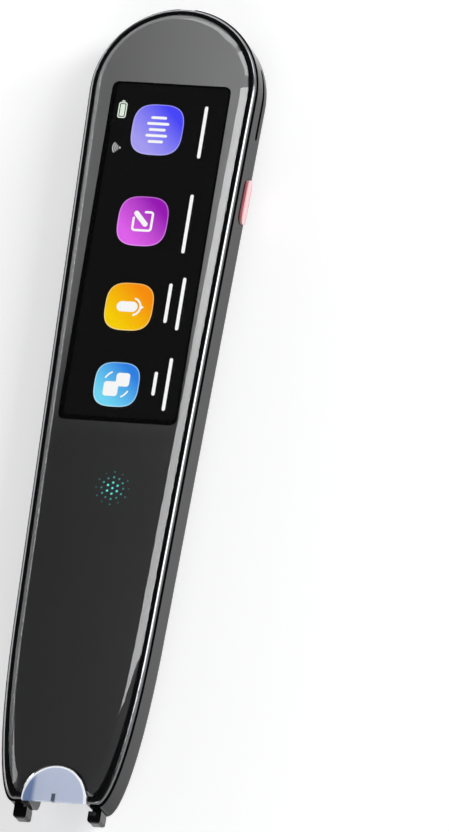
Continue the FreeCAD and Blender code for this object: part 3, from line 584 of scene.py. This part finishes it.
def cellPlates(look):
    # the outline of the cell, what fills it and its cap
    wide, tall = look["size"]
    line, gap = 2 * look["line"], look["gap"]
    hole = roundedBox(wide - line, tall - line, look["corner"] / 2)
    filling = roundedBox(wide - gap, tall - gap, look["fillCorner"], count=4)
    capPlace = (0, tall / 2 + look["cap"][1])
    cap = roundedBox(*look["cap"], look["capCorner"], count=4, centre=capPlace)
    return [(roundedBox(wide, tall, look["corner"]), hole), filling, cap]


def wavePlates(look):
    rings = [stroke(arc(look["middle"], ring, *look["sweep"]), look["line"]) for ring in look["rings"]]
    dot = softSquare(look["dot"], power=2, count=20)
    return rings + [[(x + look["middle"][0], y) for x, y in dot]]


cellGlow = litFinish("cellGlow", srgb(cellLook["tone"]), srgb(cellLook["tone"]))
screenPiece("charge_sign", cellPlates(cellLook), cellLook["centre"], "plate", cellGlow)
screenPiece("wireless_sign", wavePlates(waveLook), waveLook["centre"], "plate", screenWhite)


floorLook = {
    "colour": (0.86, 0.86, 0.865), "shade": 0.99, "stops": (0.2, 0.8), "grain": 3.0, "detail": 2.0,
    "rough": 0.9, "lift": 0.50, "size": 12.0, "gap": 0.00002,
}


def stagePlane(name, centre, size, material):
    mesh = bpy.data.meshes.new(name)
    half = size / 2
    corners = [(-half, -half, 0), (half, -half, 0), (half, half, 0), (-half, half, 0)]
    mesh.from_pydata(corners, [], [(0, 1, 2, 3)])
    mesh.materials.append(material)
    plane = bpy.data.objects.new(name, mesh)
    bpy.context.scene.collection.objects.link(plane)
    plane.location = centre


def floorFinish(look):
    # pale from above, and clear from below so that the pen's back can be seen
    n = Nodes("studioFloor")
    shader = n.surface({"Roughness": look["rough"], "Specular IOR Level": 0.0})
    tones = (look["colour"], tuple(c * look["shade"] for c in look["colour"]))
    patches = n.noise(look["grain"], look["detail"])
    n.link(n.ramp(patches, list(zip(look["stops"], tones))), shader.inputs["Base Color"])
    path = n.add("ShaderNodeLightPath")
    seen = n.maths("MAXIMUM", path.outputs["Is Camera Ray"],
                   n.maths("MAXIMUM", path.outputs["Is Glossy Ray"], path.outputs["Is Transmission Ray"]))
    glow = n.add("ShaderNodeEmission")
    glow.inputs["Color"].default_value = (1, 1, 1, 1)
    n.link(n.maths("MULTIPLY", seen, look["lift"]), glow.inputs["Strength"])
    both = n.add("ShaderNodeAddShader")
    n.link(shader.outputs[0], both.inputs[0])
    n.link(glow.outputs[0], both.inputs[1])
    under = n.add("ShaderNodeNewGeometry").outputs["Backfacing"]
    return n.done(n.mixed(under, both, n.add("ShaderNodeBsdfTransparent")))


floorLevel = cadBox[0].z - floorLook["gap"]
stagePlane("studio_floor", (0, 0, floorLevel), floorLook["size"], floorFinish(floorLook))

# how bright the sky is low down and overhead, for plain light and in gloss
skyLook = {
    "zenith": 0.02, "low": 0.25,
    "light": {"horizon": 0.40, "high": 0.75}, "gloss": {"horizon": 0.90, "high": 0.45},
}


def buildSky(look):
    # pale low down and dark overhead, as in a studio with side panels, and white to the camera
    world = bpy.data.worlds.new("studioSky")
    bpy.context.scene.world = world
    world.use_nodes = True
    tree = world.node_tree
    tree.nodes.clear()
    output = tree.nodes.new("ShaderNodeOutputWorld")
    place = tree.nodes.new("ShaderNodeTexCoord")
    split = tree.nodes.new("ShaderNodeSeparateXYZ")
    tree.links.new(place.outputs["Generated"], split.inputs[0])

    def skySide(side):
        ramp = tree.nodes.new("ShaderNodeValToRGB")
        tree.links.new(split.outputs["Z"], ramp.inputs[0])
        stops = ((look["low"], side["horizon"]), (side["high"], look["zenith"]))
        for element, (position, level) in zip(ramp.color_ramp.elements, stops):
            element.position = position
            element.color = (level, level, level, 1)
        background = tree.nodes.new("ShaderNodeBackground")
        tree.links.new(ramp.outputs[0], background.inputs["Color"])
        return background

    white = tree.nodes.new("ShaderNodeBackground")
    white.inputs["Color"].default_value = (1, 1, 1, 1)
    path = tree.nodes.new("ShaderNodeLightPath")
    sky = skySide(look["light"])
    for ray, side in (("Is Glossy Ray", skySide(look["gloss"])), ("Is Camera Ray", white)):
        mix = tree.nodes.new("ShaderNodeMixShader")
        tree.links.new(path.outputs[ray], mix.inputs[0])
        tree.links.new(sky.outputs[0], mix.inputs[1])
        tree.links.new(side.outputs[0], mix.inputs[2])
        sky = mix
    tree.links.new(sky.outputs[0], output.inputs["Surface"])


buildSky(skyLook)

# each lamp: the way it lies from the pen, its distance in m, its size in m and its power in W
lamps = {
    "bevelStrip": {"way": (0.82, 0.30, 0.48), "distance": 1.2, "size": (0.34, 0.9), "power": 8.5},
    "endPanel": {"way": (-0.10, 0.96, 0.17), "distance": 1.3, "size": (1.5, 0.40), "power": 6.0},
    "shoulderPanel": {"way": (0.62, 0.74, 0.20), "distance": 1.3, "size": (0.5, 0.4), "power": 3.5},
    "leftPanel": {"way": (-0.93, 0.27, 0.24), "distance": 1.3, "size": (1.2, 0.35), "power": 4.5},
    "frontPanel": {"way": (0.15, -0.85, 0.60), "distance": 1.4, "size": (1.0, 0.4), "power": 4.0},
}
for name, lamp in lamps.items():
    light = bpy.data.lights.new(name, "AREA")
    light.shape = "RECTANGLE"
    light.size, light.size_y = lamp["size"]
    light.energy = lamp["power"]
    body = bpy.data.objects.new(name, light)
    bpy.context.scene.collection.objects.link(body)
    way = Vector(lamp["way"]).normalized()
    body.location = way * lamp["distance"]
    body.rotation_mode = "QUATERNION"
    body.rotation_quaternion = way.to_track_quat("Z", "Y")
    body.visible_camera = False
print("studio lit with", len(lamps), "lamps")

cameraLook = {
    "way": (0.3081, -0.2930, 0.9051), "right": (0.9494, 0.1551, -0.2730), "pivot": (0, -0.0018, 0.006),
    "moveRight": 0.01793, "moveUp": 0.00175, "distance": 3.0, "frameHeight": 0.14919, "sensor": 36.0,
    "clip": (0.1, 50.0),
}


def buildCamera(look):
    data = bpy.data.cameras.new("photoCamera")
    camera = bpy.data.objects.new("photoCamera", data)
    bpy.context.scene.collection.objects.link(camera)
    bpy.context.scene.camera = camera
    away = Vector(look["way"]).normalized()
    right = Vector(look["right"])
    right = (right - away * right.dot(away)).normalized()
    up = away.cross(right)
    aim = Vector(look["pivot"]) + right * look["moveRight"] + up * look["moveUp"]
    camera.location = aim + away * look["distance"]
    camera.rotation_mode = "QUATERNION"
    camera.rotation_quaternion = Matrix((right, up, away)).transposed().to_quaternion()
    data.sensor_width = look["sensor"]
    data.lens = look["sensor"] * look["distance"] / look["frameHeight"]
    data.clip_start, data.clip_end = look["clip"]


buildCamera(cameraLook)
bpy.context.scene.view_settings.view_transform = "Standard"
print("camera set")
